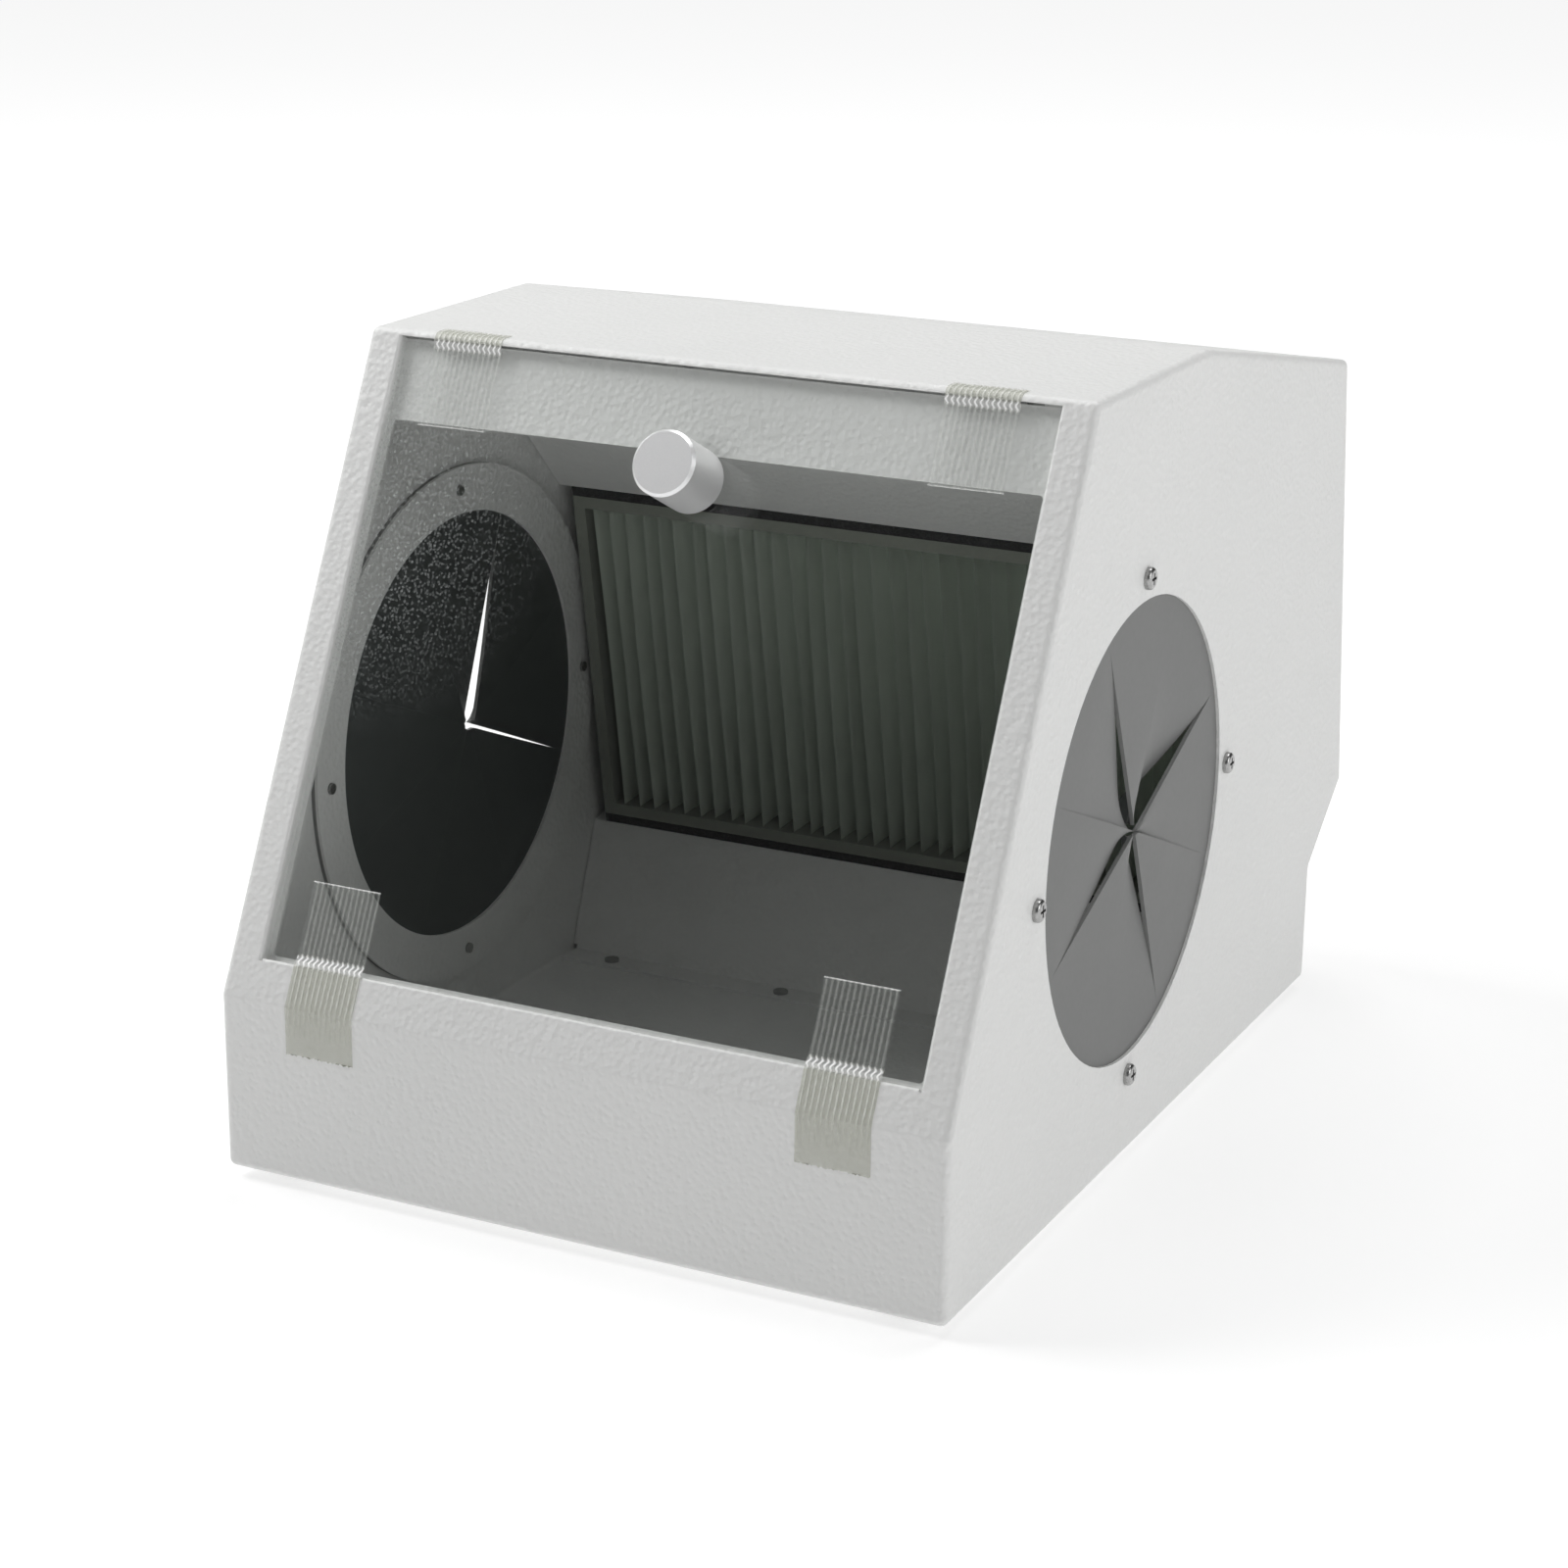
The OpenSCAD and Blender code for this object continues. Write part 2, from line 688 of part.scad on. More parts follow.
// Foam ring behind the filter and foam strips above and below it.
module filter_gasket() {
    strip_t = foam_t - seat_gap;
    color("dimgray") {
        on_filter(-filter_d - gasket_t) translate([0, filter_h / 2, gasket_t / 2]) difference() {
            cube([filter_w, filter_h, gasket_t], center = true);
            cube([filter_w - 2 * filter_border, filter_h - 2 * filter_border, gasket_t * 2], center = true);
        }
        on_filter(-filter_d) for (v = [-strip_t, filter_h])
            translate([-filter_w / 2, v, 0]) cube([filter_w, strip_t, filter_d]);
    }
}

// ---- Fan in the rear wall ----

// Frame of the fan: z points out of the rear wall, with 0 at the wall's outer face.
module on_fan(out = 0) {
    on_edge(REAR_WALL) translate([0, edge_len(REAR_WALL) - fan_w, out]) children();
}

module at_fan_screws() {
    for (x = [-1, 1], y = [-1, 1]) translate([x * fan_pitch / 2, y * fan_pitch / 2, 0]) children();
}

fan_back = -sheet_t - fan_depth;
stator_t = 4;
strut_w = 6;
rotor_gap = 1;
cup_t = 1.5;
bearing_r = 4.5;
coil_r = 15;
bearing_fit = 0.05;
rotor_low = fan_back + 1.5;
rotor_high = -sheet_t - stator_t - rotor_gap;

module fan_housing() {
    corner_r = 5;
    bearing_low = rotor_low + cup_t + rotor_gap;
    color("dimgray") on_fan() difference() {
        union() {
            difference() {
                translate([0, 0, fan_back]) linear_extrude(fan_depth) rounded_rect(fan_side, fan_side, corner_r);
                translate([0, 0, fan_back - 1]) cylinder(h = fan_depth + 2, r = fan_r);
            }
            translate([0, 0, -sheet_t - stator_t]) {
                cylinder(h = stator_t, r = hub_r);
                for (a = [45 : 90 : 315]) rotate(a) translate([0, -strut_w / 2, 0])
                    cube([fan_r + 1, strut_w, stator_t]);
            }
            translate([0, 0, bearing_low])
                cylinder(h = -sheet_t - stator_t / 2 - bearing_low, r = bearing_r);
            translate([0, 0, bearing_low + rotor_gap])
                cylinder(h = rotor_high - bearing_low - 2 * rotor_gap, r = coil_r);
        }
        translate([0, 0, fan_back]) cylinder(h = fan_depth * 2, d = shaft_d + 2 * bearing_fit);
        translate([0, 0, fan_back]) at_fan_screws()
            cylinder(h = fan_depth * 3, d = fan_screw_d + screw_clearance, center = true);
    }
}

module fan_rotor() {
    tip_r = fan_r - 1.5;
    rotor_h = rotor_high - rotor_low;
    pitch = 38;
    blade_t = 1.8;
    root_r = hub_r - cup_t / 2;
    blade_inset = 0.5;
    color("black") on_fan(rotor_low) {
        difference() {
            cylinder(h = rotor_h, r = hub_r);
            translate([0, 0, cup_t]) cylinder(h = rotor_h, r = hub_r - cup_t);
        }
        cylinder(h = -sheet_t - 1 - rotor_low, d = shaft_d);
        for (k = [1 : blades]) rotate(k * 360 / blades) intersection() {
            translate([0, 0, blade_inset]) difference() {
                cylinder(h = rotor_h - 2 * blade_inset, r = tip_r);
                translate([0, 0, -rotor_h]) cylinder(h = rotor_h * 3, r = root_r);
            }
            translate([0, 0, rotor_h / 2]) rotate([pitch, 0, 0]) translate([0, -fan_r, -blade_t / 2])
                cube([fan_r, fan_r * 2, blade_t]);
        }
    }
}

guard_t = 1.5;

module fan_guard() {
    bar = 2.4;
    rings = 4;
    ear_r = 5.5;
    color("silver") on_fan() linear_extrude(guard_t) difference() {
        union() {
            for (k = [1 : rings]) difference() {
                circle(k * fan_r / rings);
                circle(k * fan_r / rings - bar);
            }
            circle(fan_r / rings / 2);
            for (a = [0, 90]) rotate(a + 45) square([fan_pitch * sqrt(2), bar * 2], center = true);
            at_fan_screws() circle(ear_r);
        }
        at_fan_screws() circle(d = fan_screw_d + screw_clearance);
    }
}

nut_t = 3.2;
nut_r = 4;

module fan_screws() {
    color("silver") on_fan() at_fan_screws() {
        translate([0, 0, fan_back - nut_t - 1]) cylinder(h = guard_t + 1 + nut_t - fan_back, d = fan_screw_d);
        translate([0, 0, guard_t]) pan_head(port_head_d, port_head_h);
    }
}

module fan_nuts() {
    color("silver") on_fan(fan_back - nut_t) at_fan_screws() difference() {
        cylinder(h = nut_t, r = nut_r, $fn = 6);
        translate([0, 0, -nut_t]) cylinder(h = nut_t * 3, d = fan_screw_d + 0.1);
    }
}

// ---- Light bar under the top ----

light_mid = front_y + slant_run + light_y;
light_wall = 1.2;
diffuser_h = 3;

module light_channel() {
    groove_w = light_w - 2 * light_wall;
    color("silver") translate([0, light_mid, inside_top_z - light_h / 2]) difference() {
        cube([light_len, light_w, light_h], center = true);
        translate([0, 0, -light_wall]) cube([light_len * 2, groove_w, light_h], center = true);
    }
}

module light_diffuser() {
    fit = 0.1;
    color("white") translate([0, light_mid, inside_top_z - light_h + diffuser_h / 2])
        cube([light_len, light_w - 2 * light_wall - 2 * fit, diffuser_h], center = true);
}

// ---- Rocker switch and power inlet on the lower back ----

module on_lower_back(x) {
    on_edge(LOWER_BACK) translate([x, edge_len(LOWER_BACK) / 2, 0]) children();
}

switch_cut_w = switch_w - 2;
switch_cut_h = switch_h - 2;
bezel_t = 2;
key_w = switch_cut_w - 3.8;
key_h = switch_cut_h - 2.6;
key_pivot_z = -1;
key_pin_d = 2;

module switch_housing() {
    fit = 0.4;
    depth = 14;
    well_w = key_w + 1.8;
    well_h = key_h + 0.6;
    well_depth = 5.5;
    color("black") on_lower_back(switch_x) difference() {
        union() {
            translate([0, 0, bezel_t / 2]) cube([switch_w, switch_h, bezel_t], center = true);
            translate([0, 0, -depth / 2]) cube([switch_cut_w - fit, switch_cut_h - fit, depth], center = true);
        }
        translate([0, 0, bezel_t / 2 - well_depth / 2 + bezel_t / 2])
            cube([well_w, well_h, well_depth + bezel_t], center = true);
        translate([0, 0, key_pivot_z]) rotate([90, 0, 0])
            cylinder(h = switch_cut_h - fit - 0.4, d = key_pin_d + 2 * bearing_fit, center = true);
    }
}

module switch_key() {
    side = key_w / 2;
    color("darkred") on_lower_back(switch_x) translate([0, 0, key_pivot_z]) rotate([0, -key_throw / 2, 0]) {
        rotate([90, 0, 0]) linear_extrude(key_h, center = true)
            polygon([[-side, -1.5], [side, -1.5], [side, 3.2], [0, 2.2], [-side, 3.2]]);
        rotate([90, 0, 0]) cylinder(h = key_h + 1.2, d = key_pin_d, center = true);
    }
}

module power_inlet() {
    socket_r = 2.8;
    pin_r = 1.05;
    socket_depth = 9;
    barrel_len = 12;
    color("black") on_lower_back(inlet_x) {
        difference() {
            union() {
                cylinder(h = bezel_t, r = inlet_flange_r);
                translate([0, 0, -barrel_len]) cylinder(h = barrel_len, r = inlet_barrel_r);
            }
            translate([0, 0, bezel_t - socket_depth]) cylinder(h = socket_depth + 1, r = socket_r);
        }
        translate([0, 0, bezel_t - socket_depth - 1]) cylinder(h = socket_depth, r = pin_r);
    }
}

module inlet_nut() {
    color("silver") on_lower_back(inlet_x) translate([0, 0, -sheet_t - nut_t]) difference() {
        cylinder(h = nut_t, r = inlet_barrel_r + 2.5, $fn = 6);
        translate([0, 0, -nut_t]) cylinder(h = nut_t * 3, r = inlet_barrel_r + 0.05);
    }
}

// ---- Feet ----

foot_head_r = 2.8;
foot_head_h = 1.8;

module at_feet() {
    for (x = [-1, 1], y = [front_y + foot_inset, front_y + back_y - foot_inset])
        translate([x * (body_w / 2 - foot_inset), y, 0]) children();
}

module feet() {
    color("black") at_feet() difference() {
        cylinder(h = foot_h, r = foot_r);
        translate([0, 0, -foot_h]) cylinder(h = foot_h * 3, d = foot_screw_d + screw_clearance);
        translate([0, 0, -foot_head_h]) cylinder(h = foot_head_h * 2 + 0.4, r = foot_head_r + 0.3);
    }
}

module foot_screws() {
    color("silver") at_feet() {
        translate([0, 0, 0.4]) cylinder(h = foot_head_h, r = foot_head_r);
        translate([0, 0, 0.4]) cylinder(h = foot_h + sheet_t + 4, d = foot_screw_d);
    }
}

left_side_panel();
right_side_panel();
front_apron();
window_surround();
top_panel();
rear_panel();
floor_pan();
window_ledge();
glass_pane();
knob();
knob_screw();
knob_washers();
holding_tape();
left_rubber_rim();
right_rubber_rim();
left_flap(1);  // left_flap_1
left_flap(2);  // left_flap_2
left_flap(3);  // left_flap_3
left_flap(4);  // left_flap_4
left_flap(5);  // left_flap_5
left_flap(6);  // left_flap_6
left_flap(7);  // left_flap_7
left_flap(8);  // left_flap_8
flap(1);  // right_flap_1
flap(2);  // right_flap_2
flap(3);  // right_flap_3
flap(4);  // right_flap_4
flap(5);  // right_flap_5
flap(6);  // right_flap_6
flap(7);  // right_flap_7
flap(8);  // right_flap_8
left_clamp_ring();
right_clamp_ring();
left_port_screws();
right_port_screws();
lower_baffle();
upper_baffle();
baffle_rivets();
filter_seat();
filter_frame();
filter_media();
filter_gasket();
fan_housing();
fan_rotor();
fan_guard();
fan_screws();
fan_nuts();
light_channel();
light_diffuser();
switch_housing();
switch_key();
power_inlet();
inlet_nut();
feet();
foot_screws();
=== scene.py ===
"""Looks of the bench-top blast cabinet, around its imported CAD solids. Metres, in the part's own frame."""

import json
import math
import random

import bpy
from mathutils import Matrix, Vector


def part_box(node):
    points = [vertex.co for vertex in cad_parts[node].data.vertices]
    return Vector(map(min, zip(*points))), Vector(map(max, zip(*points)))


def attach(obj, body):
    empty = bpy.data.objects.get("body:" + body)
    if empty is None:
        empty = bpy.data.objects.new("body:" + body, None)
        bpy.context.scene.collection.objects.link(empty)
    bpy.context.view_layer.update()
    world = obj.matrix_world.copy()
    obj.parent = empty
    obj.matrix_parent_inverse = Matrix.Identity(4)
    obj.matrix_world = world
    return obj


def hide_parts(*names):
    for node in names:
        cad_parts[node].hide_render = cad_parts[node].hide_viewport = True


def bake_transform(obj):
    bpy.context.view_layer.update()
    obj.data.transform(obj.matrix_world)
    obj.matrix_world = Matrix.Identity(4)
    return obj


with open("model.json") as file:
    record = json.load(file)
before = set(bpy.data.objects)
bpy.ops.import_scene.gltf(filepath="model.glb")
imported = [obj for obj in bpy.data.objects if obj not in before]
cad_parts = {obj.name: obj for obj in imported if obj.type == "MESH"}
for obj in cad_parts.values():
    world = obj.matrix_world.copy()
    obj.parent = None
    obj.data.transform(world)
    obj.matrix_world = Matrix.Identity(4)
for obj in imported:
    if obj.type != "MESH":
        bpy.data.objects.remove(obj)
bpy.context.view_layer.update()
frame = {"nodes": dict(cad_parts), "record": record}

MM = 0.001
CABINET = "cabinet"
COVER = "glass_cover"
SIDES = {"left": -1, "right": 1}
JOINTS = {joint["name"]: joint for joint in frame["record"]["behaviour"]["joints"]}
SLANT_OUT = Vector(JOINTS["glass_lift_off"]["axis"])
SLANT_UP = Vector((0, SLANT_OUT.z, -SLANT_OUT.y))
SILL_H = 15 * MM
FOLD_R = 3.2 * MM
PETALS = 8
PETAL_STEP = 2 * math.pi / PETALS


def reach(node, direction):
    """How far a CAD node goes in that direction, from the origin."""
    return max(direction.dot(vertex.co) for vertex in frame["nodes"][node].data.vertices)


FRONT = Vector((0, -1, 0))
UP = Vector((0, 0, 1))
SLANT_FACE = reach("window_surround", SLANT_OUT)
GLASS_FACE = reach("glass_pane", SLANT_OUT)
APRON_FACE = reach("front_apron", FRONT)
TOP_FACE = reach("top_panel", UP)


def corner(first, first_reach, second, second_reach):
    """Where two faces that run along x meet, in the plane x = 0."""
    across = first.y * second.z - first.z * second.y
    return Vector((
        0,
        (first_reach * second.z - second_reach * first.z) / across,
        (second_reach * first.y - first_reach * second.y) / across))


LOW_CORNER = corner(FRONT, APRON_FACE, SLANT_OUT, SLANT_FACE)
HIGH_CORNER = corner(SLANT_OUT, SLANT_FACE, UP, TOP_FACE)
SILL_U = LOW_CORNER.dot(SLANT_UP) + SILL_H
GLASS_LOW_U = -reach("glass_pane", -SLANT_UP)
GLASS_HIGH_U = reach("glass_pane", SLANT_UP)


# ---- Shader helper ----


class Wire:
    """An output socket; arithmetic on it adds Math nodes to its material."""

    def __init__(self, coat, socket):
        self.coat = coat
        self.socket = socket

    def math(self, operation, first, second=0.0):
        return self.coat.node("Math", {"operation": operation}, {0: first, 1: second})

    def __add__(self, other):
        return self.math("ADD", self, other)

    def __radd__(self, other):
        return self.math("ADD", other, self)

    def __sub__(self, other):
        return self.math("SUBTRACT", self, other)

    def __rsub__(self, other):
        return self.math("SUBTRACT", other, self)

    def __mul__(self, other):
        return self.math("MULTIPLY", self, other)

    def __rmul__(self, other):
        return self.math("MULTIPLY", other, self)

    def __truediv__(self, other):
        return self.math("DIVIDE", self, other)

    def power(self, exponent):
        return self.math("POWER", self, exponent)

    def clamp(self):
        return self.math("MINIMUM", self.math("MAXIMUM", self, 0.0), 1.0)

    def size(self):
        return self.math("ABSOLUTE", self)

    def sine(self):
        return self.math("SINE", self)

    def above(self, level, soft):
        """0 below level, 1 above it, with a soft edge of that width."""
        return ((self - level) / soft + 0.5).clamp()


class Coat:
    """A material in the making: its node tree, and the one method that adds nodes to it."""

    def __init__(self, name):
        self.material = bpy.data.materials.new(name)
        self.material.use_nodes = True
        self.tree = self.material.node_tree
        self.tree.nodes.clear()

    def node(self, kind, settings=None, sockets=None, out=0):
        """One node: its type, its settings, and the values or wires of its sockets."""
        made = self.tree.nodes.new("ShaderNode" + kind)
        for key, value in (settings or {}).items():
            setattr(made, key, value)
        for key, value in (sockets or {}).items():
            if isinstance(value, Wire):
                self.tree.links.new(value.socket, made.inputs[key])
            else:
                made.inputs[key].default_value = value
        return Wire(self, made.outputs[out]) if made.outputs else None

    def place(self):
        """Position on the cabinet, in metres."""
        return self.node("TexCoord", out="Object")

    def axes(self):
        split = self.node("SeparateXYZ", sockets={0: self.place()})
        outputs = split.socket.node.outputs
        return [Wire(self, outputs[k]) for k in range(3)]

    def noise(self, scale, detail, rough):
        return self.node("TexNoise", sockets={
            "Vector": self.place(), "Scale": scale, "Detail": detail, "Roughness": rough})

    def cells(self, scale, smooth=0.6):
        return self.node("TexVoronoi", {"feature": "SMOOTH_F1"}, {
            "Vector": self.place(), "Scale": scale, "Smoothness": smooth})

    def blend(self, share, first, second):
        return self.node("Mix", {"data_type": "RGBA"}, {0: share, 6: first, 7: second}, out=2)

    def bump(self, height, depth, strength):
        return self.node("Bump", sockets={"Height": height, "Distance": depth, "Strength": strength})

    def surface(self, **sockets):
        named = {key.replace("_", " "): value for key, value in sockets.items()}
        return self.node("BsdfPrincipled", sockets=named)

    def finish(self, shader):
        self.node("OutputMaterial", sockets={"Surface": shader})
        return self.material


def tone(red, green, blue):
    return (red, green, blue, 1.0)


def grey(shade):
    return tone(shade, shade, shade)


# ---- Places that both finishes and pieces use ----

rim_low, rim_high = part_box("right_rubber_rim")
RUBBER_OUT = rim_high.x
RUBBER_IN = rim_low.x
PORT_Y = (rim_low.y + rim_high.y) / 2
PORT_Z = (rim_low.z + rim_high.z) / 2

FILTER_LEAN = math.radians(10)
FILTER_OUT = Vector((0, -math.cos(FILTER_LEAN), -math.sin(FILTER_LEAN)))
FILTER_UP = Vector((0, -math.sin(FILTER_LEAN), math.cos(FILTER_LEAN)))
FILTER_FACE = reach("filter_frame", FILTER_OUT)
FILTER_DEPTH = FILTER_FACE + reach("filter_frame", -FILTER_OUT)

# The oval patch of pale specks on the glass, a painted reflection of a grainy surface: its centre and half
# its width and height.
GLINT_PATCH_X = -126 * MM
GLINT_PATCH_Z = 226 * MM
GLINT_PATCH_W = 68 * MM
GLINT_PATCH_H = 62 * MM

STRAND_PITCH = 2.1 * MM
ZIGZAG_PITCH = 3.2 * MM
TAPE_TAIL_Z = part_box("holding_tape")[0].z
TAPE_ON_GLASS = 30 * MM
TAPE_LANDING = 3 * MM
TAPE_LOW_END = SILL_U + TAPE_ON_GLASS
TAPE_HIGH_END = GLASS_HIGH_U - TAPE_ON_GLASS


# ---- Finishes ----


def powder_coat():
    """Near-white powder coat with a fine leathery texture."""
    coat = Coat("powder_coat")
    lumps = coat.cells(430)
    fine = coat.noise(900, 2.0, 0.6)
    broad = coat.noise(9, 3.0, 0.6)
    colour = coat.blend(broad, tone(0.74, 0.745, 0.735), tone(0.79, 0.79, 0.78))
    return coat.finish(coat.surface(
        Base_Color=colour,
        Roughness=0.38 + fine * 0.16,
        Normal=coat.bump(lumps * 1.1 + fine * 0.35, 0.0004, 0.8)))


def glass():
    """Clear float glass with a faint green tint, a wiping smear and an oval patch of pale specks that are a
    painted reflection.
    """
    coat = Coat("window_glass")
    x, _, z = coat.axes()
    smear = coat.noise(22, 4.0, 0.65)
    from_side = (x - GLINT_PATCH_X) / GLINT_PATCH_W
    from_top = (z - GLINT_PATCH_Z) / GLINT_PATCH_H
    patch = (1.0 - (from_side * from_side + from_top * from_top).power(0.5)).above(0.18, 0.7)
    # The pale frosted specks in this patch are a painted reflection of a grainy surface.
    spots = coat.node("TexVoronoi", {"feature": "F1"}, {
        "Vector": coat.place(), "Scale": 640, "Randomness": 0.75})
    painted_glints = (1.0 - spots.above(0.32, 0.18)) * patch * 0.15
    gloss = coat.node("BsdfAnisotropic", {"distribution": "GGX"}, {
        "Color": grey(1.0), "Roughness": 0.02})
    clear = coat.node("BsdfTransparent", sockets={"Color": tone(0.990, 0.995, 0.991)})
    glint_surface = coat.surface(Base_Color=tone(0.75, 0.78, 0.77), Roughness=0.5)
    grazing = coat.node("LayerWeight", sockets={"Blend": 0.5}, out=1)
    mirror = (grazing.power(5.0) * 0.6 + smear * 0.010 + 0.024).clamp()
    body = coat.node("MixShader", sockets={0: mirror, 1: clear, 2: gloss})
    return coat.finish(coat.node("MixShader", sockets={0: painted_glints, 1: body, 2: glint_surface}))


def satin_aluminium():
    coat = Coat("satin_aluminium")
    grain = coat.noise(1600, 2.0, 0.5)
    return coat.finish(coat.surface(
        Base_Color=coat.blend(grain, tone(0.86, 0.862, 0.868), grey(0.93)),
        Metallic=0.6,
        Roughness=0.33 + grain * 0.10,
        Normal=coat.bump(grain, 0.00003, 0.4)))


def plated_steel(name, shade, rough):
    coat = Coat(name)
    grain = coat.noise(2400, 2.0, 0.5)
    return coat.finish(coat.surface(
        Base_Color=coat.blend(grain, tone(shade * 0.9, shade * 0.9, shade * 0.88), grey(shade)),
        Metallic=1.0,
        Roughness=rough + grain * 0.12,
        Normal=coat.bump(grain, 0.00002, 0.3)))


def sheet_rubber():
    """Grey-black sheet rubber: painted lighter outside as a painted sheen, painted darker inside the cabinet
    as painted shade, and pale on its cut edges.
    """
    coat = Coat("sheet_rubber")
    x, _, _ = coat.axes()
    turn = coat.node("SeparateXYZ", sockets={0: coat.node("TexCoord", out="Normal")})
    facing_out = turn * x / (x.size() + 0.001)
    fine = coat.noise(420, 3.0, 0.6)
    bloom = coat.noise(26, 4.0, 0.6)
    # The outside tone carries a painted sheen and the inside tone painted shade: one rubber in a lit and a
    # shaded copy.
    painted_sheen_outside = coat.blend(bloom, tone(0.150, 0.152, 0.150), tone(0.185, 0.187, 0.183))
    painted_light_tone = coat.blend(bloom, tone(0.052, 0.059, 0.058), tone(0.070, 0.077, 0.075))
    faces = coat.blend(facing_out.above(0.25, 0.2), painted_light_tone, painted_sheen_outside)
    cut_edge = 1.0 - facing_out.size().above(0.22, 0.2)
    return coat.finish(coat.surface(
        Base_Color=coat.blend(cut_edge * 0.7, faces, tone(0.30, 0.30, 0.295)),
        Roughness=0.46 + fine * 0.10 + bloom * 0.05,
        Normal=coat.bump(fine, 0.00004, 0.35)))


def soft_rubber(name, shade):
    coat = Coat(name)
    fine = coat.noise(1300, 3.0, 0.6)
    return coat.finish(coat.surface(
        Base_Color=coat.blend(fine, grey(shade), grey(shade * 1.6)),
        Roughness=0.6 + fine * 0.2,
        Normal=coat.bump(fine, 0.00006, 0.6)))


def strand_tape(name, glass_end, bridge_low, bridge_high, strands_from, glass_above):
    """Clear film with a yellowish glue and lengthwise glass strands, painted near-white as highlights where
    it bridges the gap and along its cut end. All its places are along the slant.
    """
    coat = Coat(name)
    x, y, z = coat.axes()
    along = y * SLANT_UP.y + z * SLANT_UP.z
    wave = coat.noise(60, 2.0, 0.5)
    ripple = coat.noise(520, 2.0, 0.5)
    past_low = along.above(bridge_low, 1.2 * MM)
    past_high = along.above(bridge_high, 1.2 * MM)
    bridge = past_low * (1.0 - past_high)
    on_glass = past_high if glass_above else 1.0 - past_low
    zigzag = (along * (2 * math.pi / ZIGZAG_PITCH)).sine() * bridge * 1.3
    strand = ((x * (2 * math.pi / STRAND_PITCH) + wave * 1.6 + zigzag).sine() * 0.5 + 0.5).power(2.5)
    cut = 1.0 - ((along - glass_end).size() / (0.6 * MM)).clamp()
    drawn = ((along - strands_from) / (14 * MM) + 1.0).clamp() * (0.45 + ripple * 0.9)
    grit = (1.0 - (z - TAPE_TAIL_Z).size() / (0.9 * MM)).clamp() * ripple.above(0.52, 0.10)
    glue = coat.blend(on_glass, tone(0.44, 0.45, 0.33), tone(0.62, 0.66, 0.63))
    bare = coat.blend((strand * drawn).clamp(), glue, tone(0.84, 0.85, 0.81))
    # Painted highlight: the bridging stretch and the cut end are painted near-white.
    painted_light_tone = coat.blend((bridge + cut).clamp(), bare, tone(0.95, 0.95, 0.94))
    film = 0.15 - on_glass * 0.12 + ripple * 0.03
    # The bridge and cut terms also make these painted highlights more opaque.
    strands = strand * drawn * (0.36 - on_glass * 0.23) + bridge * strand * 0.8
    ends = cut * ripple * 1.3 + grit * 0.8
    return coat.finish(coat.surface(
        Base_Color=coat.blend(grit, painted_light_tone, tone(0.12, 0.12, 0.10)),
        Roughness=0.26 + ripple * 0.12,
        Alpha=(film + strands + ends).clamp(),
        Normal=coat.bump(strand + ripple * 0.3, 0.00006, 0.5)))


def filter_paper():
    """Pleated filter paper with patchy tone, painted lighter deep in its folds to offset the shade there."""
    coat = Coat("pleated_paper")
    _, y, z = coat.axes()
    fibre = coat.noise(1100, 4.0, 0.7)
    dust = coat.noise(30, 4.0, 0.6)
    # Painted light: the paper gets lighter with depth into the folds, to offset their shade.
    depth = ((FILTER_FACE - y * FILTER_OUT.y - z * FILTER_OUT.z) / (FILTER_DEPTH * 0.75)).clamp()
    crest = coat.blend(dust, tone(0.44, 0.49, 0.42), tone(0.53, 0.58, 0.51))
    return coat.finish(coat.surface(
        Base_Color=coat.blend(depth, crest, tone(0.80, 0.86, 0.79)),
        Roughness=0.85 + fibre * 0.1,
        Normal=coat.bump(fibre, 0.00015, 0.6)))


def card():
    coat = Coat("filter_card")
    fibre = coat.noise(700, 4.0, 0.7)
    return coat.finish(coat.surface(
        Base_Color=coat.blend(fibre, tone(0.22, 0.235, 0.20), tone(0.28, 0.295, 0.26)),
        Roughness=0.8 + fibre * 0.15,
        Normal=coat.bump(fibre, 0.0001, 0.5)))


def foam():
    coat = Coat("black_foam")
    pores = coat.cells(1300, 0.2)
    return coat.finish(coat.surface(
        Base_Color=coat.blend(pores, grey(0.012), grey(0.05)),
        Roughness=0.9 + pores * 0.1,
        Normal=coat.bump(pores, 0.0004, 0.9)))


def moulded_plastic(name, shade, rough):
    coat = Coat(name)
    spark = coat.noise(1800, 2.0, 0.6)
    return coat.finish(coat.surface(
        Base_Color=coat.blend(spark, tone(shade, shade, shade * 1.05), grey(shade * 1.5)),
        Roughness=rough + spark * 0.12,
        Normal=coat.bump(spark, 0.00003, 0.4)))


def frosted_cover():
    coat = Coat("frosted_cover")
    fine = coat.noise(1200, 2.0, 0.5)
    return coat.finish(coat.surface(
        Base_Color=coat.blend(fine, tone(0.84, 0.85, 0.84), tone(0.9, 0.9, 0.89)),
        Roughness=0.5 + fine * 0.1,
        Normal=coat.bump(fine, 0.00003, 0.4)))


